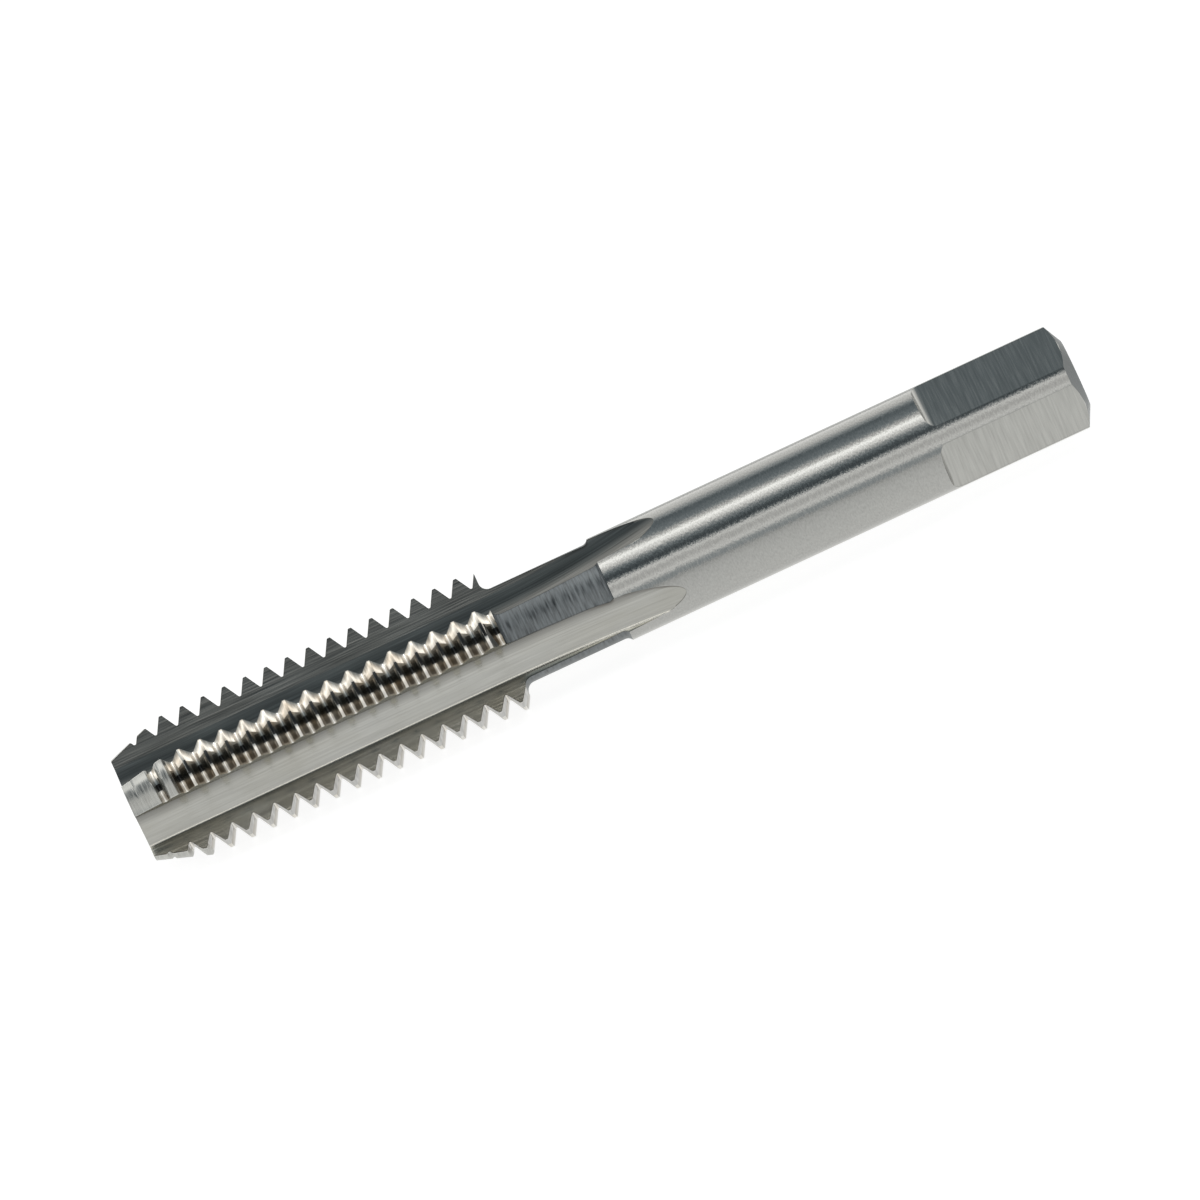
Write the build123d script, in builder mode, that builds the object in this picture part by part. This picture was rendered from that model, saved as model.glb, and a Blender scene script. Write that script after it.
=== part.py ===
"""Hand tap, M8 x 1.25 right-hand, bottoming, with four straight flutes.

One solid piece of high-speed steel, lying at rest on two of its four lands.
X runs along the tool from the cutting tip (-X) to the driving square (+X),
and Z is up. The origin is under the middle of the tool, at the height of the
surface that the tool lies on. Millimetres and degrees.
"""

import os
from math import acos, ceil, cos, degrees, radians, sin, sqrt, tan

from build123d import *

# Overall
overall_length = 56.0

# Cutting thread
thread_diameter = 8.06
thread_pitch = 1.25
thread_depth = 0.84
thread_crest_width = 0.17
thread_flank_angle = 30.0
thread_end = 22.0
thread_start = 0.095

# Tapered lead at the cutting tip
lead_tip_diameter = 6.1
lead_angle = 19.0
lead_margin_angle = 11.5
lead_relief_offset = 0.3

# Flutes, ground by a wheel that lifts out of the tool behind the thread
flute_count = 4
land_angle = 32.4
rake_angle = 4.5
cutting_face_depth = 1.68
heel_wall_depth = 1.6
heel_wall_lean = 10.0
bottom_hollow_radius = 5.0
flute_straight_length = 21.2
wheel_reach = 60.0
wheel_lift_angle = -10.0

# Ground neck and shank
neck_diameter = 5.56
neck_end = 28.3
neck_thread_corner = 0.5
neck_shank_corner = 0.4
shank_diameter = 6.0

# Driving square
square_width = 4.9
square_length = 8.0
square_turn = 12.75
square_corner = 0.6
end_face_diameter = 3.8
end_bevel_length = 0.55

thread_radius = thread_diameter / 2
root_radius = thread_radius - thread_depth
neck_radius = neck_diameter / 2
shank_radius = shank_diameter / 2
flute_step = 360 / flute_count
flute_half = (flute_step - land_angle) / 2

# The tool lies on the corners of the two lands beside its lowest flute.
axis_height = thread_radius * cos(radians(flute_half))
tip = Vector(-overall_length / 2, 0, axis_height)

# Local x and y of this plane are world +Y and +Z, and its normal runs along the tool.
tool = Plane(origin=tip, x_dir=(0, 1, 0), z_dir=(1, 0, 0))
tool_axis = Axis(tip, tool.z_dir)

# How far a cutter stands clear of the metal outside its cut
cutter_margin = 1.0


def polar(radius, angle):
    """Point of a plane across the tool, from a radius and an angle in degrees."""
    return Vector(radius * cos(radians(angle)), radius * sin(radians(angle)))


def outwards(angle):
    """World direction that points away from the tool's axis at an angle round it."""
    return tool.x_dir * cos(radians(angle)) + tool.y_dir * sin(radians(angle))


def lengthwise(angle):
    """Plane along the tool: local x towards the square, local y outwards at the angle."""
    return Plane(origin=tip, x_dir=tool.z_dir, z_dir=tool.z_dir.cross(outwards(angle)))


# Vee groove between two threads, where it crosses one land: a short piece of the helix
root_width = thread_pitch - thread_crest_width - 2 * thread_depth * tan(radians(thread_flank_angle))
crest_run_out = thread_crest_width / 4 / tan(radians(thread_flank_angle))
groove_depth = thread_depth + crest_run_out
mouth_width = root_width + 2 * groove_depth * tan(radians(thread_flank_angle))
groove_sweep = land_angle + flute_half
groove_rise = thread_pitch * groove_sweep / 360

with BuildPart() as groove:
    with BuildLine():
        Helix(pitch=thread_pitch, height=groove_rise, radius=root_radius)
    with BuildSketch(Plane.XZ):
        with Locations((root_radius + groove_depth / 2, 0)):
            Trapezoid(mouth_width, groove_depth, 90 - thread_flank_angle, rotation=90)
    sweep(is_frenet=True)

# The groove crosses every land once a turn and climbs a pitch with each turn.
groove_places = []
for land in range(flute_count):
    first_angle = (land + 0.5) * flute_step - groove_sweep / 2
    first_height = thread_start + thread_pitch * first_angle / 360
    for turn in range(-1, ceil(thread_end / thread_pitch) + 1):
        height = first_height + turn * thread_pitch
        groove_places.append(Location((0, 0, height), (0, 0, first_angle)))

# Relief behind the cutting edges of the lead: the same taper, turned about a centre that
# is set off to one side, so that it drops away from a narrow margin towards the heel
lead_length = (thread_radius - lead_tip_diameter / 2) / tan(radians(lead_angle))
margin_end = flute_half + lead_margin_angle
relief_centre = polar(lead_relief_offset, margin_end - 90)

with BuildPart() as lead_relief:
    with BuildSketch(Plane(relief_centre, (0, 0, 1), polar(1, margin_end + 90))):
        with BuildLine():
            Polyline(
                (-cutter_margin, lead_tip_diameter / 2 - cutter_margin * tan(radians(lead_angle))),
                (lead_length + cutter_margin, thread_radius + cutter_margin * tan(radians(lead_angle))),
                (lead_length + cutter_margin, thread_radius + 2 * cutter_margin),
                (-cutter_margin, thread_radius + 2 * cutter_margin),
                close=True,
            )
        make_face()
    revolve(axis=Axis(relief_centre, (0, 0, 1)), revolution_arc=land_angle)

# Profile of the blank along one side: lead, thread, neck, shank and bevelled end
neck_start = thread_end + neck_thread_corner
shank_step = shank_radius - neck_radius
shank_step_length = sqrt(neck_shank_corner**2 - (neck_shank_corner - shank_step) ** 2)
neck_finish = neck_end - shank_step_length
bevel_start = overall_length - end_bevel_length

# Section of a flute across the tool, with the flute centred on local x:
# a flat cutting face, a slightly hollow bottom and a heel wall
heel_corner = polar(thread_radius, -flute_half)
heel_inwards = polar(1, 180 - flute_half - heel_wall_lean)
heel_foot = heel_corner + heel_inwards * heel_wall_depth
heel_mouth = heel_corner - heel_inwards * cutter_margin
cutting_corner = polar(thread_radius, flute_half)
face_outwards = polar(1, flute_half - rake_angle)
face_foot = cutting_corner - face_outwards * cutting_face_depth
face_mouth = cutting_corner + face_outwards * cutter_margin

# Flute cutter, standing on the tip: straight along the thread, then round the wheel's rim
with BuildPart() as flute_cutter:
    with BuildSketch(Plane.XY.offset(-cutter_margin)):
        with BuildLine():
            Line(heel_mouth, heel_foot)
            RadiusArc(heel_foot, face_foot, bottom_hollow_radius)
            Polyline(face_foot, face_mouth, heel_mouth)
        make_face()
    extrude(amount=flute_straight_length + cutter_margin)
    wheel_centre = polar(wheel_reach, wheel_lift_angle) + Vector(0, 0, flute_straight_length)
    wheel_axle = Axis(wheel_centre, polar(1, wheel_lift_angle + 90))
    wheel_arc = degrees(acos((wheel_reach - thread_radius) / wheel_reach))
    revolve(flute_cutter.faces().sort_by(Axis.Z)[-1], axis=wheel_axle, revolution_arc=wheel_arc)

# Cutter for one flat of the square: its corner leaves a rounded shoulder on the shank.
square_start = overall_length - square_length
flat_height = square_width / 2
flat_cutter_top = shank_radius + cutter_margin

with BuildPart(tool) as thread_tap:
    with BuildSketch(lengthwise(0)):
        with BuildLine():
            Polyline(
                (neck_start, neck_radius),
                (neck_finish, neck_radius),
            )
            RadiusArc((neck_finish, neck_radius), (neck_end, shank_radius), -neck_shank_corner)
            Polyline(
                (neck_end, shank_radius),
                (bevel_start, shank_radius),
                (overall_length, end_face_diameter / 2),
                (overall_length, 0),
                (0, 0),
                (0, lead_tip_diameter / 2),
                (lead_length, thread_radius),
                (thread_end, thread_radius),
                (thread_end, neck_radius + neck_thread_corner),
            )
            RadiusArc(
                (thread_end, neck_radius + neck_thread_corner),
                (neck_start, neck_radius),
                -neck_thread_corner,
            )
        make_face()
    revolve(axis=tool_axis)

    for flat in range(4):
        with BuildSketch(lengthwise(square_turn + 90 * flat)):
            with BuildLine():
                Polyline(
                    (square_start - square_corner, flat_height + square_corner),
                    (square_start - square_corner, flat_cutter_top),
                    (overall_length + cutter_margin, flat_cutter_top),
                    (overall_length + cutter_margin, flat_height),
                    (square_start, flat_height),
                )
                RadiusArc(
                    (square_start, flat_height),
                    (square_start - square_corner, flat_height + square_corner),
                    square_corner,
                )
            make_face()
        extrude(amount=shank_radius + cutter_margin, both=True, mode=Mode.SUBTRACT)

    with PolarLocations(0, flute_count):
        add(flute_cutter.part, mode=Mode.SUBTRACT)
        add(lead_relief.part, mode=Mode.SUBTRACT)

    with Locations(*groove_places):
        add(groove.part, mode=Mode.SUBTRACT)

thread_tap.part.label = "thread_tap"
os.makedirs("parts", exist_ok=True)
export_step(thread_tap.part, "parts/thread_tap.step")
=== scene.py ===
from math import acos, asin, atan2, cos, degrees, pi, radians, sin, sqrt, tan

import bmesh
import bpy
import numpy as np
from mathutils import Matrix, Vector


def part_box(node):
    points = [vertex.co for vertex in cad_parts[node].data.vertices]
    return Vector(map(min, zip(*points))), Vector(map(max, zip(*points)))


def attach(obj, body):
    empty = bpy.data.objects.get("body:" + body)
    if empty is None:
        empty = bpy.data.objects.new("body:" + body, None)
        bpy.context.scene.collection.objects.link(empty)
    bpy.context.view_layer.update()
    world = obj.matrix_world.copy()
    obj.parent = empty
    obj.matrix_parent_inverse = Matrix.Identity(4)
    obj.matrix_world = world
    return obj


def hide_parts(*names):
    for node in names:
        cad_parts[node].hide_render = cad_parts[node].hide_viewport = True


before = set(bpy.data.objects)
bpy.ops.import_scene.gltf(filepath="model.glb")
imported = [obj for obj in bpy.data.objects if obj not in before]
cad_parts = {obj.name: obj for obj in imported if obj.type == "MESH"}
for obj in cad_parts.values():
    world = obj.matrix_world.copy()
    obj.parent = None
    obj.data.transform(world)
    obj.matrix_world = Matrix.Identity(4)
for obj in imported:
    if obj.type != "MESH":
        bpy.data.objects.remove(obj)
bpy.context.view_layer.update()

# ---------------------------------------------------------------------------
# The tap: one piece of high-speed steel. The bar is turned, the flutes and the
# thread are ground into it, and the square is milled on its far end. Sizes are in
# millimetres and degrees, and run along the tool from its cutting tip.
# ---------------------------------------------------------------------------
MM = 0.001
QUARTER = 90.0

length = 56.0
thread_radius = 4.03
thread_pitch = 1.25
thread_depth = 0.84
thread_crest = 0.17
thread_start = 0.095
thread_end = 22.0
flank_angle = radians(30)
root_radius = thread_radius - thread_depth

lead_tip_radius = 3.05
lead_slope = tan(radians(19.0))
lead_margin = 11.5
relief_offset = 0.3

land_angle = 32.4
flute_half = (QUARTER - land_angle) / 2
rake = 4.5
face_depth = 1.68
heel_depth = 1.6
heel_lean = 10.0
bottom_hollow = 5.0
crease_round = 0.08
flute_straight = 21.2
wheel_reach = 60.0
wheel_lift = -10.0

neck_radius = 2.78
neck_end = 28.3
shoulder_fillet = 0.5
step_fillet = 0.4
shank_radius = 3.0

flat_height = 2.45
flat_start = 48.0
flat_turn = 12.75
flat_corner = 0.6
bevel_start = 55.45
end_face_radius = 1.9

low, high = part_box("thread_tap")
tip_x = low[0]
axis_height = (low[2] + high[2]) / 2


def polar(radius, angle):
    """Point or direction across the tool, at an angle in degrees."""
    return radius * np.array([cos(radians(angle)), sin(radians(angle))])


def wheel_profile():
    """The grinding wheel's profile across one flute: distances along it, points, and its two joins."""
    heel_corner = polar(thread_radius, -flute_half)
    inwards = polar(1, 180 - flute_half - heel_lean)
    foot = heel_corner + inwards * heel_depth
    cutting_corner = polar(thread_radius, flute_half)
    up_face = polar(1, flute_half - rake)
    crease = cutting_corner - up_face * face_depth
    chord = crease - foot
    width = np.linalg.norm(chord)
    inside = np.array([-chord[1], chord[0]]) / width
    opening = asin(width / 2 / bottom_hollow)
    hollow_centre = (foot + crease) / 2 - inside * bottom_hollow * cos(opening)
    spoke_angle = atan2(inside[1], inside[0])
    hollow_points, corner_points, wall_points = 60, 9, 30
    overrun = 0.4
    sweep = spoke_angle + np.linspace(opening, -opening, hollow_points)
    hollow = hollow_centre + bottom_hollow * np.stack([np.cos(sweep), np.sin(sweep)], 1)
    before = crease + (hollow[-2] - crease) / np.linalg.norm(hollow[-2] - crease) * crease_round
    after = crease + up_face * crease_round
    turn = np.linspace(0, 1, corner_points)[:, None]
    corner = (1 - turn) ** 2 * before + 2 * turn * (1 - turn) * crease + turn**2 * after
    wall = heel_corner + np.linspace(-overrun, heel_depth, wall_points)[:, None] * inwards
    face = crease + np.linspace(crease_round, face_depth + overrun, wall_points)[1:, None] * up_face
    points = np.vstack([wall, hollow[1:-1], corner, face])
    along = np.concatenate([[0], np.cumsum(np.linalg.norm(np.diff(points, axis=0), axis=1))])
    return along, points, along[wall_points - 1], along[-len(face) - len(corner) // 2 - 1]


profile_along, profile_points, heel_join, crease_join = wheel_profile()
lift = polar(1, wheel_lift)
profile_reach = wheel_reach - profile_points @ lift


def flute_section(z):
    """The wheel's profile where it cuts the plane at z: straight first, then round the wheel's rim."""
    run = max(0.0, z - flute_straight)
    rise = profile_reach - np.sqrt(profile_reach**2 - run**2)
    return profile_points + rise[:, None] * lift


def flute_edges(z, radius):
    """Profile distance and angle where the flute leaves a round: its heel side, then its cutting side."""
    points = flute_section(z)
    radii = np.hypot(points[:, 0], points[:, 1])
    angles = np.degrees(np.arctan2(points[:, 1], points[:, 0]))
    bottom = int(np.argmin(radii))
    if radius <= radii[bottom]:
        return (profile_along[bottom], angles[bottom]), (profile_along[bottom], angles[bottom])
    heel = slice(bottom, None, -1)
    face = slice(bottom, None)
    return (
        (np.interp(radius, radii[heel], profile_along[heel]), np.interp(radius, radii[heel], angles[heel])),
        (np.interp(radius, radii[face], profile_along[face]), np.interp(radius, radii[face], angles[face])),
    )


root_round = (thread_pitch - thread_crest) / 2 / tan(flank_angle) - thread_depth
flank_foot = root_round * cos(flank_angle)


def thread_surface(z, angle):
    """Radius of the thread, with the tapered lead and its relief cut over it."""
    middle = thread_start + thread_pitch * angle / 360
    away = abs((z - middle + thread_pitch / 2) % thread_pitch - thread_pitch / 2)
    if away < flank_foot:
        radius = root_radius + root_round - sqrt(root_round**2 - away**2)
    else:
        radius = min(thread_radius, root_radius - root_round + away / tan(flank_angle))
    taper = lead_tip_radius + z * lead_slope
    relief_angle = (flute_half + lead_margin - 90) - (angle % QUARTER)
    sideways = relief_offset * cos(radians(relief_angle))
    relieved = sideways + sqrt(taper**2 - relief_offset**2 + sideways**2)
    return min(radius, taper, relieved)


step_rise = shank_radius - neck_radius
step_start = neck_end - sqrt(step_fillet**2 - (step_fillet - step_rise) ** 2)


def body_surface(z, angle):
    """Radius behind the thread: shoulder, neck, step, shank and bevelled end."""
    if z < thread_end + shoulder_fillet:
        run = thread_end + shoulder_fillet - z
        fillet = neck_radius + shoulder_fillet - sqrt(max(0.0, shoulder_fillet**2 - run**2))
        return min(fillet, thread_surface(z, angle))
    if z < neck_end:
        run = max(0.0, z - step_start)
        return neck_radius + step_fillet - sqrt(step_fillet**2 - run**2)
    if z < bevel_start:
        return shank_radius
    share = (z - bevel_start) / (length - bevel_start)
    return shank_radius + share * (end_face_radius - shank_radius)


def spread(start, end, steps, edge):
    """Points from start to end in a number of steps, the first and last one as narrow as edge."""
    if end - start < 3 * edge:
        return list(np.linspace(start, end, steps + 1))
    return [start] + list(np.linspace(start + edge, end - edge, steps - 1)) + [end]


def spoon_tip():
    """Where a flute has run out of the shank: distance from the tip, and its angle."""
    longest_spoon, halvings = 8, 40
    near, far = neck_end, neck_end + longest_spoon
    for _ in range(halvings):
        middle = (near + far) / 2
        if np.hypot(*flute_section(middle).T).min() < shank_radius:
            near = middle
        else:
            far = middle
    points = flute_section(near)
    bottom = points[np.argmin(np.hypot(*points.T))]
    return near, degrees(atan2(bottom[1], bottom[0]))


spoon_end, spoon_angle = spoon_tip()
run_out_start = flat_start - sqrt(flat_corner**2 - (flat_corner - (shank_radius - flat_height)) ** 2)

# The skin is a net of rings round the tool. Each quarter of a ring has a cut (a
# flute, or a flat of the square) and then a land. Rings over the thread climb with it.
heel_steps, hollow_steps, crease_steps, face_steps = 5, 12, 4, 6
margin_steps, relief_steps = 8, 14
cut_steps = heel_steps + hollow_steps + face_steps
land_steps = margin_steps + relief_steps
# The narrow columns beside each edge carry the edge mask, which paints a highlight or a darker line there.
painted_edge_width = 0.08
painted_edge_angle = degrees(painted_edge_width / thread_radius)
margin_share = lead_margin / land_angle

# Rings across one thread, from the middle of its groove: the rounded root, the flank and
# the crest with its broken edge. The lead, where the taper crosses the thread, has twice as many.
crest_edge = (thread_pitch - thread_crest) / 2
crest_break = 0.014
root_shares, flank_rings = (0.35, 0.7), 4
half_tooth = [share * flank_foot for share in root_shares]
half_tooth += list(np.linspace(flank_foot, crest_edge - crest_break, flank_rings))
half_tooth.append(crest_edge + crest_break)
tooth = sorted([-u for u in half_tooth] + [0.0] + half_tooth + [thread_pitch / 2])
fine_tooth = sorted(tooth + [(a + b) / 2 for a, b in zip(tooth, tooth[1:])])
lead_turns = 3


def cut_columns(z_heel, heel, z_face, face):
    """Points of a flute from its heel edge to its cutting edge."""
    low_join = min(max(heel_join, heel), face)
    high_join = max(min(crease_join, face), heel)
    round_start = max(low_join, high_join - crease_round)
    round_end = min(face, high_join + crease_round)
    stops = spread(heel, low_join, heel_steps, painted_edge_width)[:-1]
    stops += list(np.linspace(low_join, round_start, hollow_steps - crease_steps + 1))[:-1]
    stops += list(np.linspace(round_start, round_end, crease_steps + 1))[:-1]
    stops += spread(round_end, face, face_steps, painted_edge_width)
    points = []
    for stop in stops:
        share = (stop - heel) / max(face - heel, 1e-9)
        z = z_heel + share * (z_face - z_heel)
        x = np.interp(stop, profile_along, profile_points[:, 0])
        y = np.interp(stop, profile_along, profile_points[:, 1])
        reach = wheel_reach - (x * lift[0] + y * lift[1])
        rise = reach - sqrt(reach**2 - max(0.0, z - flute_straight) ** 2)
        edge = max(0.0, 1 - (stop - heel) / painted_edge_width, 1 - (face - stop) / painted_edge_width)
        # At the crease the mask goes below zero, and the steel gets a painted highlight and more roughness
        # there.
        if abs(stop - crease_join) < crease_round:
            edge = abs(stop - crease_join) / crease_round - 1
        points.append((z, x + rise * lift[0], y + rise * lift[1], stop, z, edge))
    return points


def land_columns(height, surface, first, last, kink, quarter):
    """Points of a land from its cutting edge to its heel edge."""
    stops = spread(first, kink, margin_steps, painted_edge_angle)[:-1] + spread(kink, last, relief_steps, painted_edge_angle)
    points = []
    for stop in stops:
        angle = stop + QUARTER * quarter
        z = height(stop)
        radius = surface(z, angle)
        edge = max(0.0, 1 - (stop - first) / painted_edge_angle, 1 - (last - stop) / painted_edge_angle)
        x, y = polar(radius, angle)
        points.append((z, x, y, z, radians(angle) * shank_radius, edge))
    return points


def turned(points, quarter):
    """Points of a cut, turned round the tool to their own quarter."""
    c, s = round(cos(pi / 2 * quarter)), round(sin(pi / 2 * quarter))
    return [(z, c * x - s * y, s * x + c * y, u, v, edge) for z, x, y, u, v, edge in points]


def ring(heights, surface):
    """One ring: for each quarter the cut's points and then the land's."""
    edges = []
    # An edge's angle changes its radius, and its radius the angle, so they settle in a few rounds.
    rounds = 4
    for quarter in range(4):
        height = heights[quarter]
        face_angle = flute_half
        heel_angle = flute_half + land_angle
        for _ in range(rounds):
            z_face = height(face_angle)
            face, face_angle = flute_edges(z_face, surface(z_face, face_angle + QUARTER * quarter))[1]
            z_heel = height(heel_angle)
            heel, heel_angle = flute_edges(z_heel, surface(z_heel, heel_angle + QUARTER * quarter))[0]
            heel_angle += QUARTER
        edges.append((z_face, face, face_angle, z_heel, heel, heel_angle))
    lands = []
    for quarter, (_, _, first, _, _, last) in enumerate(edges):
        kink = flute_half + lead_margin
        if surface is body_surface:
            kink = first + margin_share * (last - first)
        lands.append(land_columns(heights[quarter], surface, first, last, kink, quarter))
    cuts = []
    for quarter in range(4):
        z_face, face = edges[quarter][:2]
        z_heel, heel = edges[quarter - 1][3:5]
        cut = turned(cut_columns(z_heel, heel, z_face, face), quarter)
        lands[quarter - 1][-1] = cut[0][:3] + lands[quarter - 1][-1][3:]
        lands[quarter][0] = cut[-1][:3] + lands[quarter][0][3:]
        cuts.append(cut)
    return [point for cut, land in zip(cuts, lands) for point in cut + land]


def round_ring(z):
    """One ring of the shank behind the flutes, where the cut has no width."""
    share = min(1.0, (z - spoon_end) / (run_out_start - spoon_end))
    first = spoon_angle + share * (flat_turn - spoon_angle)
    points = []
    for quarter in range(4):
        x, y = polar(body_surface(z, 0), first)
        points += turned([(z, x, y, 0.0, z, 0.0)] * (cut_steps + 1), quarter)
        for angle in np.linspace(first, first + QUARTER, land_steps + 1) + QUARTER * quarter:
            x, y = polar(shank_radius, angle)
            points.append((z, x, y, z, radians(angle) * shank_radius, 0.0))
    return points


def square_ring(z):
    """One ring of the driving square: four flats, and what is left of the round between them."""
    run = max(0.0, flat_start - z)
    flat = flat_height + flat_corner - sqrt(flat_corner**2 - run**2)
    radius = body_surface(z, 0)
    half = degrees(acos(min(1.0, flat / radius)))
    flat = min(flat, radius)
    points = []
    for quarter in range(4):
        width = flat * tan(radians(half))
        cut = []
        for stop in spread(-width, width, cut_steps, painted_edge_width):
            x, y = polar(1, flat_turn) * flat + polar(1, flat_turn + 90) * stop
            edge = max(0.0, 1 - (width - abs(stop)) / painted_edge_width)
            cut.append((z, x, y, z, stop, edge))
        points += turned(cut, quarter)
        first, last = flat_turn + half, flat_turn + QUARTER - half
        kink = first + margin_share * (last - first)
        points += land_columns(lambda stop: z, body_surface, first, last, kink, quarter)
    if width < painted_edge_width:
        points = [(*point[:5], 0.0) for point in points]
    return points


def climb(turn, u, quarter):
    """Height of a ring over one land, where it keeps its place in the thread groove."""
    start = thread_start + thread_pitch * (turn + quarter / 4) + u
    return lambda angle: min(max(start + thread_pitch * angle / 360, 0.0), thread_end)


hair = 1e-6
rings, zones = [ring([lambda angle: 0.0] * 4, thread_surface)], ["thread"]
for turn in range(-2, int(thread_end / thread_pitch) + 1):
    for u in fine_tooth if turn < lead_turns else tooth:
        heights = [climb(turn, u, quarter) for quarter in range(4)]
        if max(height(90) for height in heights) > 0 and min(height(0) for height in heights) < thread_end:
            rings.append(ring(heights, thread_surface))
            narrow = -flank_foot - hair < u < flank_foot - hair or not -crest_edge < u < crest_edge
            zones.append("crest" if narrow else "thread")
rings.append(ring([lambda angle: thread_end] * 4, thread_surface))
zones.append("neck")

# Behind the thread the rings are flat, and crowd together where the tool changes shape.
fillet_rings, neck_rings, step_rings, spoon_rings = 8, 12, 7, 22
shank_rings, run_out_rings, flat_rings, bevel_rings = 14, 12, 8, 12
spoon_crowding = 1.8
fillet = thread_end + shoulder_fillet * (1 - np.cos(np.radians(np.linspace(0, 90, fillet_rings))))
neck = np.linspace(thread_end + shoulder_fillet, step_start, neck_rings)[1:]
step = step_start + (neck_end - step_start) * np.sin(np.radians(np.linspace(0, 90, step_rings)))[1:]
spoon = neck_end + (spoon_end - neck_end) * (1 - np.linspace(1, 0, spoon_rings)[1:] ** spoon_crowding)
for z in [*fillet, *neck, *step, *spoon[:-1]]:
    rings.append(ring([lambda angle, z=z: z] * 4, body_surface))
    zones.append("neck" if z < neck_end - hair else "shank")
for z in np.linspace(spoon_end, run_out_start, shank_rings):
    rings.append(round_ring(z))
    zones.append("shank")
run_out = flat_start - flat_corner * np.cos(np.radians(np.linspace(0, 90, run_out_rings)))
run_out = run_out[run_out > run_out_start]
flats = np.linspace(flat_start, bevel_start, flat_rings)[1:]
bevel = np.linspace(bevel_start, length, bevel_rings)[1:]
for z in [*run_out, *flats, *bevel]:
    rings.append(square_ring(z))
    zones.append("square")

# Faces, each with its place across and along the lines that the grinding left, and its
# zone. Flutes and lands are counted round from the back one, over the top, to the front.
# The front land gets painted shade, near-black steel on its crests and in its roots from its margin on, and
# its margin is painted lighter; the top flute is painted darker and the front flute lighter.
group_sizes = [cut_steps + 1, land_steps + 1] * 4
ring_size = sum(group_sizes)
flute_names = ["flute", "top flute painted shade and light", "front flute painted light and shade", "flute"]
margin_names = ["margin", "front margin painted light", "margin", "margin"]
front_land = 1
painted_shade_steps, root_painted_shade_delay = 7, 3
lead_skin = 0.27
vertices, places, painted_edge_values = [], [], []
for one in rings:
    for z, x, y, u, v, edge in one:
        vertices.append((tip_x + z * MM, x * MM, axis_height + y * MM))
        places.append((u, v))
        painted_edge_values.append(edge)
faces, face_zones = [], []
for i, zone in enumerate(zones[:-1]):
    start = i * ring_size
    for group, size in enumerate(group_sizes):
        in_cut, quarter = group % 2 == 0, group // 2
        for j in range(size - 1):
            a = start + j
            faces.append((a, a + 1, a + ring_size + 1, a + ring_size))
            z, x, y = rings[i][a - i * ring_size][:3]
            radius = np.hypot(x, y)
            on_crest = zone == "crest" and radius > root_radius + thread_depth / 2
            painted_shade_from = margin_steps - 1 if on_crest else margin_steps + root_painted_shade_delay
            name = zone
            if in_cut and zone != "square":
                name = "face" if j >= heel_steps + hollow_steps else flute_names[quarter]
            elif in_cut:
                name = "flat"
            elif zone in ("thread", "crest") and radius > lead_tip_radius + z * lead_slope - lead_skin:
                name = "lead"
            elif zone == "thread" and j < margin_steps or on_crest and j < margin_steps - 1:
                name = margin_names[quarter]
            # Painted shade: near-black steel on the front land's crests and roots.
            elif zone == "crest" and quarter == front_land and painted_shade_from <= j < margin_steps + painted_shade_steps:
                name = "shade"
            elif zone == "square":
                name = "shank" if z < bevel_start - hair else "end"
            face_zones.append(name)
        start += size

# Plain end faces, with lines straight across them
last_ring = (len(rings) - 1) * ring_size
for cap in (range(ring_size - 1, -1, -1), range(last_ring, last_ring + ring_size)):
    faces.append(tuple(cap))
    face_zones.append("cap")

mesh = bpy.data.meshes.new("thread_tap_skin")
mesh.from_pydata(vertices, [], faces)
grind = mesh.uv_layers.new(name="grind")
loop_vertices = np.empty(len(mesh.loops), dtype=np.int32)
mesh.loops.foreach_get("vertex_index", loop_vertices)
loop_places = np.array(places, dtype=np.float32)[loop_vertices]
loops_per_face = [polygon.loop_total for polygon in mesh.polygons]
on_cap = np.repeat([name == "cap" for name in face_zones], loops_per_face)
loop_places[on_cap] = np.array(vertices, dtype=np.float32)[loop_vertices[on_cap], 1:] / MM
grind.data.foreach_set("uv", loop_places.ravel())
# The edge mask: 1 at edges and below 0 in the creases. The steel paints edge highlights and darker edge lines
# from it.
painted_edge_mask = mesh.attributes.new("painted_edge_mask", "FLOAT", "POINT")
painted_edge_mask.data.foreach_set("value", np.array(painted_edge_values, dtype=np.float32))
zone_names = [
    "thread", "margin", "front margin painted light", "crest", "shade", "lead", "flute", "top flute painted shade and light", "front flute painted light and shade",
    "face", "neck", "shank", "flat", "end", "cap",
]
mesh.polygons.foreach_set("material_index", [zone_names.index(name) for name in face_zones])
mesh.polygons.foreach_set("use_smooth", [True] * len(faces))

# Where a cut has run out its columns have no width left, so they are joined into one.
same_place, no_length = 4e-7, 1e-7
fold_angle = radians(26)
skin = bmesh.new()
skin.from_mesh(mesh)
bmesh.ops.remove_doubles(skin, verts=skin.verts, dist=same_place)
bmesh.ops.dissolve_degenerate(skin, edges=skin.edges, dist=no_length)
skin.to_mesh(mesh)
skin.free()
mesh.set_sharp_from_angle(angle=fold_angle)

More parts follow.
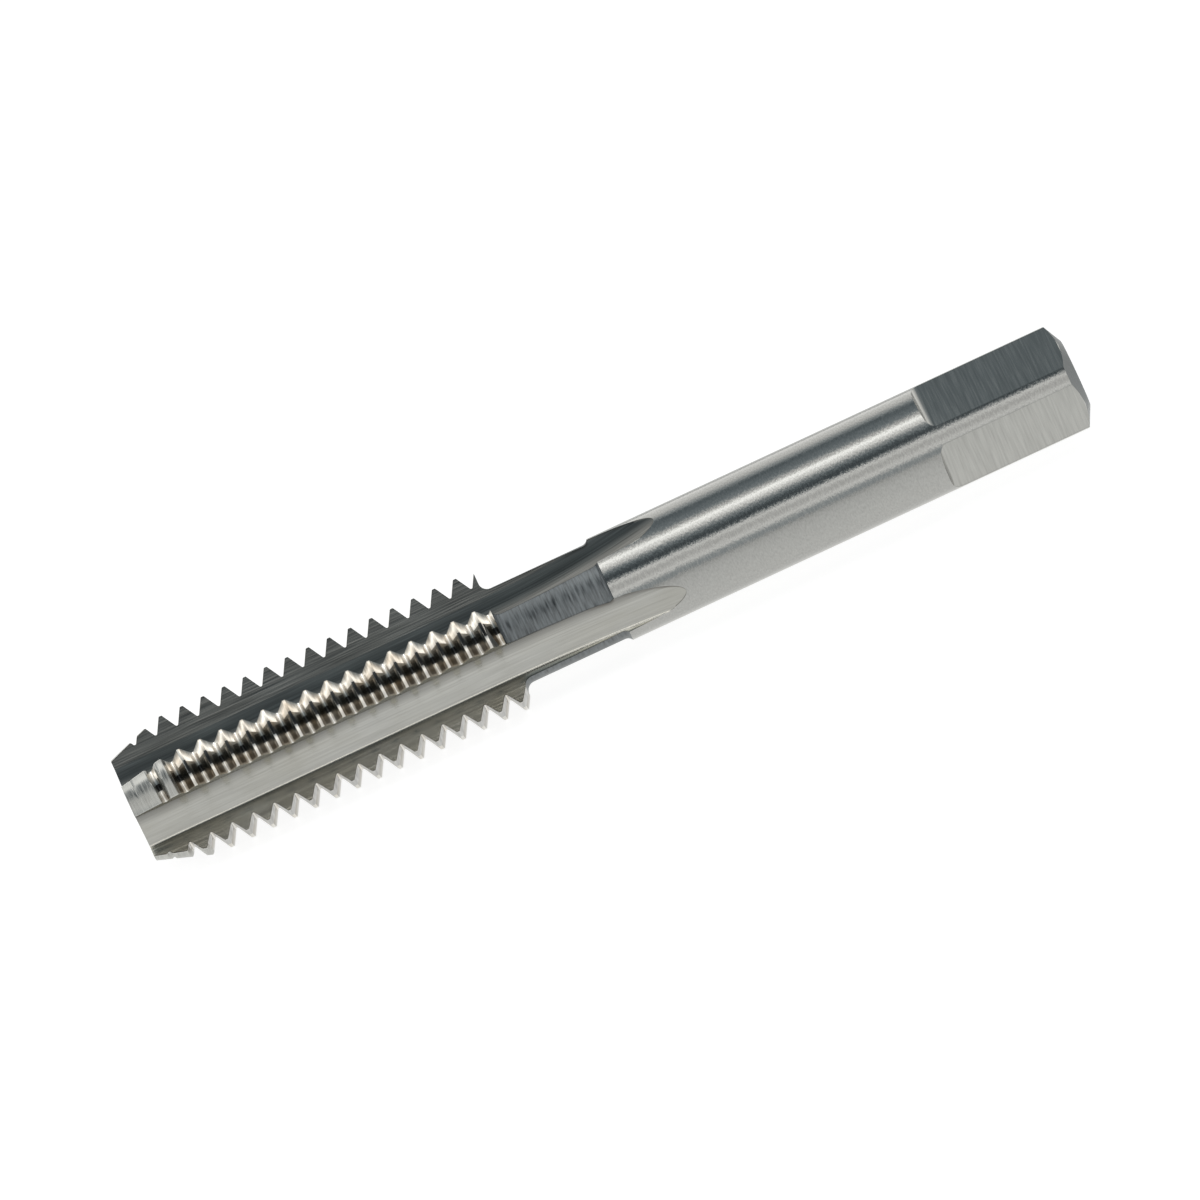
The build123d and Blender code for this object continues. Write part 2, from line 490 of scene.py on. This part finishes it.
# Lapping has rounded the thread's flanks beside the cutting edges, so there they mirror
# the room above them, and not only each other.
lapping = 0.55
lapped = [zone_names.index("margin"), zone_names.index("front margin painted light")]
normals = np.empty(len(mesh.loops) * 3, dtype=np.float32)
mesh.corner_normals.foreach_get("vector", normals)
normals = normals.reshape(-1, 3)
loop_vertices = np.empty(len(mesh.loops), dtype=np.int32)
mesh.loops.foreach_get("vertex_index", loop_vertices)
corners = np.empty(len(mesh.vertices) * 3, dtype=np.float32)
mesh.vertices.foreach_get("co", corners)
away = corners.reshape(-1, 3)[loop_vertices] - (0, 0, axis_height)
away[:, 0] = 0
away /= np.maximum(np.linalg.norm(away, axis=1), 1e-9)[:, None]
on_margin = np.repeat(
    [polygon.material_index in lapped for polygon in mesh.polygons],
    [polygon.loop_total for polygon in mesh.polygons],
)
softened = normals * (1 - lapping) + away * lapping
softened /= np.linalg.norm(softened, axis=1)[:, None]
normals[on_margin] = softened[on_margin]
mesh.normals_split_custom_set(normals.tolist())

tap = bpy.data.objects.new("thread_tap_skin", mesh)
bpy.context.scene.collection.objects.link(tap)


def ground_steel(
    name, colour, roughness, lines, streak, contrast, relief,
    tint=(1, 1, 1), edge_colour=None, heel_painted_shading=1.0, glance=1.0, patch=1.0,
):
    """Bare ground steel, with the lines and patches that grinding and use have left on it.

    Lines and streaks are counted per millimetre, across the grind and along it. The contrast is
    how much they change the tone, and the relief is how far they stand up, in millimetres.
    Patches are tinted. Where an edge colour is given, edges take it as a painted highlight where it
    is brighter and as a darker line where it is darker, and creases get a painted highlight. The heel
    painted shading is painted shade on a flute's heel wall below 1 and painted light above 1. The glance
    is how much the steel mirrors of what only glances off it. A larger patch number makes patches finer.
    """
    material = bpy.data.materials.new(name)
    material.use_nodes = True
    nodes, links = material.node_tree.nodes, material.node_tree.links
    steel = nodes["Principled BSDF"]
    steel.inputs["Metallic"].default_value = 1.0
    steel.inputs["Specular Tint"].default_value = (glance, glance, glance, 1)

    def noise(source, scale, detail, seed):
        stretch = nodes.new("ShaderNodeMapping")
        stretch.inputs["Scale"].default_value = scale
        stretch.inputs["Location"].default_value = (seed, seed, seed)
        links.new(source, stretch.inputs["Vector"])
        texture = nodes.new("ShaderNodeTexNoise")
        texture.inputs["Scale"].default_value = 1.0
        texture.inputs["Detail"].default_value = detail
        links.new(stretch.outputs[0], texture.inputs["Vector"])
        return texture.outputs["Fac"]

    def ranged(source, low, high, from_low=0.3, from_high=0.7):
        spread_out = nodes.new("ShaderNodeMapRange")
        spread_out.inputs["From Min"].default_value = from_low
        spread_out.inputs["From Max"].default_value = from_high
        spread_out.inputs["To Min"].default_value = low
        spread_out.inputs["To Max"].default_value = high
        links.new(source, spread_out.inputs["Value"])
        return spread_out.outputs[0]

    def maths(operation, a, b):
        node = nodes.new("ShaderNodeMath")
        node.operation = operation
        for socket, value in zip(node.inputs, (a, b)):
            if isinstance(value, float):
                socket.default_value = value
            else:
                links.new(value, socket)
        return node.outputs[0]

    def mixed(factor, a, b, blend="MIX"):
        node = nodes.new("ShaderNodeMix")
        node.data_type = "RGBA"
        node.blend_type = blend
        for socket, value in ((node.inputs[0], factor), (node.inputs[6], a), (node.inputs[7], b)):
            if isinstance(value, (float, tuple)):
                socket.default_value = value
            else:
                links.new(value, socket)
        return node.outputs[2]

    place = nodes.new("ShaderNodeUVMap")
    place.uv_map = "grind"
    body = nodes.new("ShaderNodeTexCoord")
    fine_seed, coarse_seed, patch_seed = 3.1, 7.7, 1.3
    fine = noise(place.outputs[0], (lines, streak, 1), 3.0, fine_seed)
    coarse = noise(place.outputs[0], (lines * 0.4, streak * 0.6, 1), 2.0, coarse_seed)
    lengthwise, sideways = 260 * patch, 420 * patch
    patches = noise(body.outputs["Object"], (lengthwise, sideways, sideways), 4.0, patch_seed)
    edge = nodes.new("ShaderNodeAttribute")
    edge.attribute_name = "painted_edge_mask"

    # Tone: grinding lines, painted shading on a flute's heel wall, tinted patches, edge colours and painted
    # highlights in the creases
    fine_share, coarse_share = 0.85, 0.15
    grain = maths("ADD", ranged(fine, -fine_share, fine_share), ranged(coarse, -coarse_share, coarse_share))
    shade = maths("ADD", maths("MULTIPLY", grain, contrast), 1.0)
    # Painted shading on the heel wall: below 1 it is painted shade, above 1 painted light.
    if heel_painted_shading != 1.0:
        fade_start, fade_end = heel_join - 0.1, heel_join + 0.8
        across = nodes.new("ShaderNodeSeparateXYZ")
        links.new(place.outputs[0], across.inputs[0])
        heel_painted_shading_ramp = ranged(across.outputs["X"], heel_painted_shading, 1.0, fade_start, fade_end)
        shade = maths("MULTIPLY", shade, heel_painted_shading_ramp)
    grey = nodes.new("ShaderNodeCombineColor")
    for channel in grey.inputs:
        links.new(shade, channel)
    tinted = tuple(channel * share for channel, share in zip(colour, tint))
    toned = mixed(ranged(patches, 0.0, 1.0), (*colour, 1), (*tinted, 1))
    lined = mixed(1.0, toned, grey.outputs[0], "MULTIPLY")
    lined_and_edge_painted = lined
    # Edge colours: a painted highlight where the edge colour is brighter, a darker line where it is darker.
    if edge_colour:
        least_painted_edge, deepest_crease, painted_crease_highlight = 0.4, -0.8, (0.98, 0.94, 0.86, 1)
        painted_edge_share = ranged(edge.outputs["Fac"], 0.0, 1.0, 0.0, 1.0)
        patchy_painted_edge = maths("MULTIPLY", painted_edge_share, ranged(patches, least_painted_edge, 1.0))
        edged = mixed(patchy_painted_edge, lined, (*edge_colour, 1))
        # Painted highlight in the creases: a pale cream colour mixed in.
        creased = ranged(edge.outputs["Fac"], 0.0, 1.0, 0.0, deepest_crease)
        lined_and_edge_painted = mixed(creased, edged, painted_crease_highlight)
    links.new(lined_and_edge_painted, steel.inputs["Base Color"])

    # Roughness and relief: the same lines and patches, and rougher steel down in the creases
    grain_roughness, smooth_patch, dull_patch, crease_roughness = 0.35, 0.85, 1.2, 0.25
    patchy = ranged(patches, roughness * smooth_patch, roughness * dull_patch)
    rough = maths("ADD", maths("MULTIPLY", grain, roughness * grain_roughness), patchy)
    if edge_colour:
        rough = maths("ADD", rough, maths("MULTIPLY", creased, crease_roughness))
    links.new(rough, steel.inputs["Roughness"])
    bump = nodes.new("ShaderNodeBump")
    bump.inputs["Strength"].default_value = 1.0
    bump.inputs["Distance"].default_value = relief * MM
    links.new(fine, bump.inputs["Height"])
    links.new(bump.outputs[0], steel.inputs["Normal"])
    return material


# Edge colours: a painted highlight, and a dark line.
painted_highlight_edge, dark_edge = (0.80, 0.79, 0.76), (0.10, 0.09, 0.08)
finishes = {
    "thread": ground_steel(
        "thread_steel", colour=(0.43, 0.42, 0.40), tint=(0.82, 0.74, 0.64),
        roughness=0.07, lines=7.0, streak=0.8, contrast=0.12, relief=0.0015,
        edge_colour=(0.6, 0.57, 0.5), patch=3.0,
    ),
    "margin": ground_steel(
        "margin_steel", colour=(0.60, 0.60, 0.60), tint=(0.84, 0.82, 0.80),
        roughness=0.12, lines=7.0, streak=0.8, contrast=0.20, relief=0.002,
        edge_colour=painted_highlight_edge, patch=3.0,
    ),
    # Painted light: a lighter, warmer copy of the margin for the land facing the camera, with darker edges.
    "front margin painted light": ground_steel(
        "painted_light_front_margin_steel", colour=(0.67, 0.65, 0.61), tint=(0.78, 0.70, 0.61),
        roughness=0.12, lines=7.0, streak=0.8, contrast=0.24, relief=0.002,
        edge_colour=(0.34, 0.33, 0.31), patch=3.0,
    ),
    "crest": ground_steel(
        "crest_steel", colour=(0.82, 0.81, 0.79), tint=(0.90, 0.86, 0.80),
        roughness=0.08, lines=7.0, streak=0.8, contrast=0.12, relief=0.002,
        edge_colour=painted_highlight_edge, patch=3.0,
    ),
    # Painted shade for the front land's crests and roots, with dimmed glancing reflections.
    "shade": ground_steel(
        "painted_shade_steel", colour=(0.10, 0.10, 0.10), tint=(0.94, 0.91, 0.87),
        roughness=0.2, lines=7.0, streak=0.8, contrast=0.3, relief=0.002,
        edge_colour=painted_highlight_edge, glance=0.3,
    ),
    "lead": ground_steel(
        "lead_steel", colour=(0.51, 0.51, 0.49),
        roughness=0.29, lines=10.0, streak=1.0, contrast=0.26, relief=0.004,
        edge_colour=painted_highlight_edge,
    ),
    "flute": ground_steel(
        "flute_steel", colour=(0.40, 0.40, 0.385), tint=(0.90, 0.89, 0.86),
        roughness=0.13, lines=9.0, streak=0.25, contrast=0.14, relief=0.0025,
        edge_colour=dark_edge,
    ),
    # Painted shade: darker than the other flutes, with dimmed glancing reflections and a heel wall painted
    # lighter.
    "top flute painted shade and light": ground_steel(
        "painted_shade_and_light_top_flute_steel", colour=(0.245, 0.245, 0.235), tint=(0.84, 0.84, 0.83),
        roughness=0.12, lines=9.0, streak=0.25, contrast=0.34, relief=0.0025,
        edge_colour=dark_edge, heel_painted_shading=1.1, glance=0.7,
    ),
    # Painted light: lighter than the other flutes, with painted shade on its heel wall.
    "front flute painted light and shade": ground_steel(
        "painted_light_and_shade_front_flute_steel", colour=(0.49, 0.49, 0.475), tint=(0.92, 0.91, 0.88),
        roughness=0.13, lines=9.0, streak=0.25, contrast=0.12, relief=0.0025,
        edge_colour=dark_edge, heel_painted_shading=0.38,
    ),
    "face": ground_steel(
        "face_steel", colour=(0.95, 0.94, 0.875), tint=(0.9, 0.87, 0.80),
        roughness=0.16, lines=9.0, streak=0.25, contrast=0.16, relief=0.003,
        edge_colour=dark_edge,
    ),
    "neck": ground_steel(
        "neck_steel", colour=(0.20, 0.215, 0.225),
        roughness=0.42, lines=8.0, streak=0.9, contrast=0.55, relief=0.012,
        edge_colour=(0.04, 0.04, 0.04),
    ),
    "shank": ground_steel(
        "shank_steel", colour=(0.45, 0.45, 0.44),
        roughness=0.12, lines=12.0, streak=5.0, contrast=0.12, relief=0.008,
        edge_colour=(0.45, 0.45, 0.44),
    ),
    "flat": ground_steel(
        "flat_steel", colour=(0.47, 0.47, 0.455),
        roughness=0.18, lines=9.0, streak=0.4, contrast=0.13, relief=0.004,
        edge_colour=(0.3, 0.3, 0.29),
    ),
    "end": ground_steel(
        "end_steel", colour=(0.18, 0.19, 0.195),
        roughness=0.30, lines=5.0, streak=1.0, contrast=0.1, relief=0.004,
        edge_colour=(0.3, 0.3, 0.3),
    ),
    "cap": ground_steel(
        "cap_steel", colour=(0.30, 0.305, 0.31), tint=(0.9, 0.9, 0.9),
        roughness=0.30, lines=5.0, streak=1.0, contrast=0.1, relief=0.004,
    ),
}
for name in zone_names:
    mesh.materials.append(finishes[name])

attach(tap, "root")
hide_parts("thread_tap")

# ---------------------------------------------------------------------------
# The table: a wide sheet of white paper, lying flat under the tap. It is seen as an
# even white, and for mirror rays it glows with a painted light, strongest in a painted pool beside the tap.
# ---------------------------------------------------------------------------
half = 1.5
paper_grey = 0.3
seen_level = 0.88
far_level, painted_pool_level, painted_pool_reach = 0.27, 0.50, 0.03
floor_mesh = bpy.data.meshes.new("table_sheet")
sheet_corners = [(-half, -half, 0), (half, -half, 0), (half, half, 0), (-half, half, 0)]
floor_mesh.from_pydata(sheet_corners, [], [(0, 1, 2, 3)])
floor = bpy.data.objects.new("table_sheet", floor_mesh)
bpy.context.scene.collection.objects.link(floor)

sheet = bpy.data.materials.new("white_sheet")
sheet.use_nodes = True
nodes, links = sheet.node_tree.nodes, sheet.node_tree.links
nodes.clear()
paper = nodes.new("ShaderNodeBsdfDiffuse")
paper.inputs["Color"].default_value = (paper_grey, paper_grey, paper_grey, 1)
seen = nodes.new("ShaderNodeEmission")
seen.inputs["Strength"].default_value = seen_level
mirrored = nodes.new("ShaderNodeEmission")
mirrored.inputs["Color"].default_value = (1.0, 1.0, 0.97, 1)
dark = nodes.new("ShaderNodeEmission")
dark.inputs["Strength"].default_value = 0.0
path = nodes.new("ShaderNodeLightPath")
for_mirror = nodes.new("ShaderNodeMixShader")
for_eye = nodes.new("ShaderNodeMixShader")
both = nodes.new("ShaderNodeAddShader")
links.new(path.outputs["Is Glossy Ray"], for_mirror.inputs["Fac"])
links.new(dark.outputs[0], for_mirror.inputs[1])
links.new(mirrored.outputs[0], for_mirror.inputs[2])
links.new(path.outputs["Is Camera Ray"], for_eye.inputs["Fac"])
links.new(for_mirror.outputs[0], for_eye.inputs[1])
links.new(seen.outputs[0], for_eye.inputs[2])
links.new(paper.outputs[0], both.inputs[0])
links.new(for_eye.outputs[0], both.inputs[1])
# In mirrored light the sheet glows as a painted pool of light, brightest beside the tap and falling off away
# from it.
spot = nodes.new("ShaderNodeTexCoord")
spot_split = nodes.new("ShaderNodeSeparateXYZ")
links.new(spot.outputs["Object"], spot_split.inputs[0])
sideways = nodes.new("ShaderNodeMath")
sideways.operation = "ABSOLUTE"
links.new(spot_split.outputs["Y"], sideways.inputs[0])
reach = nodes.new("ShaderNodeMath")
reach.operation = "MULTIPLY_ADD"
reach.inputs[1].default_value = 1 / painted_pool_reach
reach.inputs[2].default_value = 1.0
links.new(sideways.outputs[0], reach.inputs[0])
painted_pool = nodes.new("ShaderNodeMath")
painted_pool.operation = "DIVIDE"
painted_pool.inputs[0].default_value = painted_pool_level
links.new(reach.outputs[0], painted_pool.inputs[1])
mirrored_level_with_painted_pool = nodes.new("ShaderNodeMath")
mirrored_level_with_painted_pool.operation = "ADD"
mirrored_level_with_painted_pool.inputs[1].default_value = far_level
links.new(painted_pool.outputs[0], mirrored_level_with_painted_pool.inputs[0])
links.new(mirrored_level_with_painted_pool.outputs[0], mirrored.inputs["Strength"])
surface = nodes.new("ShaderNodeOutputMaterial")
links.new(both.outputs[0], surface.inputs["Surface"])
floor_mesh.materials.append(sheet)

# ---------------------------------------------------------------------------
# The studio: soft panels in front of, over and behind the table, dark between them.
# Each pair is an angle in degrees, from the front horizon over the top to the back
# one, and how bright the room is there. What is dark is tinted cool.
# ---------------------------------------------------------------------------
panels = [
    (0, 0.48), (9, 0.46), (15, 0.92), (18.5, 1.10), (23, 0.85), (31, 0.71), (36, 0.85), (39.8, 1.20),
    (42, 0.95), (44, 0.64), (47, 0.20), (50, 0.10), (53, 0.08), (60, 0.17), (66, 0.34), (70, 0.56),
    (74, 0.98), (78, 1.27), (83, 1.60), (86.5, 2.15), (89, 1.65), (92, 1.12), (97, 0.72), (102, 0.38),
    (108, 0.29), (118, 0.23), (129, 0.17), (136, 0.40), (143, 0.60), (151, 0.90), (165, 1.03), (180, 1.25),
]
shadow_tint = np.array((0.84, 1.03, 1.13))
light_tint = np.array((1.01, 1.01, 0.98))
tint_start, tint_span = 0.1, 0.6
world = bpy.data.worlds.new("studio")
bpy.context.scene.world = world
world.use_nodes = True
nodes, links = world.node_tree.nodes, world.node_tree.links
nodes.clear()
coords = nodes.new("ShaderNodeTexCoord")
split = nodes.new("ShaderNodeSeparateXYZ")
flip = nodes.new("ShaderNodeMath")
flip.operation = "MULTIPLY"
flip.inputs[1].default_value = -1
over = nodes.new("ShaderNodeMath")
over.operation = "ARCTAN2"
share = nodes.new("ShaderNodeMath")
share.operation = "DIVIDE"
share.inputs[1].default_value = pi
ramp = nodes.new("ShaderNodeValToRGB")
links.new(coords.outputs["Generated"], split.inputs[0])
links.new(split.outputs["Y"], flip.inputs[0])
links.new(split.outputs["Z"], over.inputs[0])
links.new(flip.outputs[0], over.inputs[1])
links.new(over.outputs[0], share.inputs[0])
links.new(share.outputs[0], ramp.inputs[0])
for panel_angle, _ in panels[1:-1]:
    ramp.color_ramp.elements.new(panel_angle / 180)
for stop, (panel_angle, level) in zip(ramp.color_ramp.elements, panels):
    stop.position = panel_angle / 180
    lit = min(1.0, max(0.0, (level - tint_start) / tint_span))
    stop.color = (*(level * (shadow_tint + lit * (light_tint - shadow_tint))), 1)
studio = nodes.new("ShaderNodeBackground")
links.new(ramp.outputs[0], studio.inputs["Color"])
backdrop = nodes.new("ShaderNodeBackground")
backdrop.inputs["Color"].default_value = (1, 1, 1, 1)
path = nodes.new("ShaderNodeLightPath")
for_eye = nodes.new("ShaderNodeMixShader")
links.new(path.outputs["Is Camera Ray"], for_eye.inputs["Fac"])
links.new(studio.outputs[0], for_eye.inputs[1])
links.new(backdrop.outputs[0], for_eye.inputs[2])
sky = nodes.new("ShaderNodeOutputWorld")
links.new(for_eye.outputs[0], sky.inputs["Surface"])

# ---------------------------------------------------------------------------
# The camera: a long lens from above the front, rolled so that the tap lies
# slantwise, with its tip low on the left and its square high on the right.
# ---------------------------------------------------------------------------
elevation = radians(31.55)
roll = radians(24.93)
distance = 0.880
px_per_m = 18544.0
centre_px = (604.7, 591.8)
frame_px = 1200
film = 36
centre = (Vector(low) + Vector(high)) / 2
towards = Vector((0, -cos(elevation), sin(elevation)))
downwards = Vector((0, -sin(elevation), -cos(elevation)))
right = Vector((1, 0, 0)) * cos(roll) + downwards * sin(roll)
up = Vector((1, 0, 0)) * sin(roll) - downwards * cos(roll)
across_px, down_px = centre_px[0] - frame_px / 2, frame_px / 2 - centre_px[1]
aim = centre - right * across_px / px_per_m - up * down_px / px_per_m
camera_data = bpy.data.cameras.new("camera")
camera_data.sensor_width = film
camera_data.lens = film * distance * px_per_m / frame_px
camera_data.clip_start = 0.01
camera_data.clip_end = 20
camera = bpy.data.objects.new("camera", camera_data)
stand = Matrix((right, up, towards)).transposed().to_4x4()
stand.translation = aim + towards * distance
camera.matrix_world = stand
bpy.context.scene.collection.objects.link(camera)
bpy.context.scene.camera = camera
bpy.context.scene.view_settings.view_transform = "Standard"
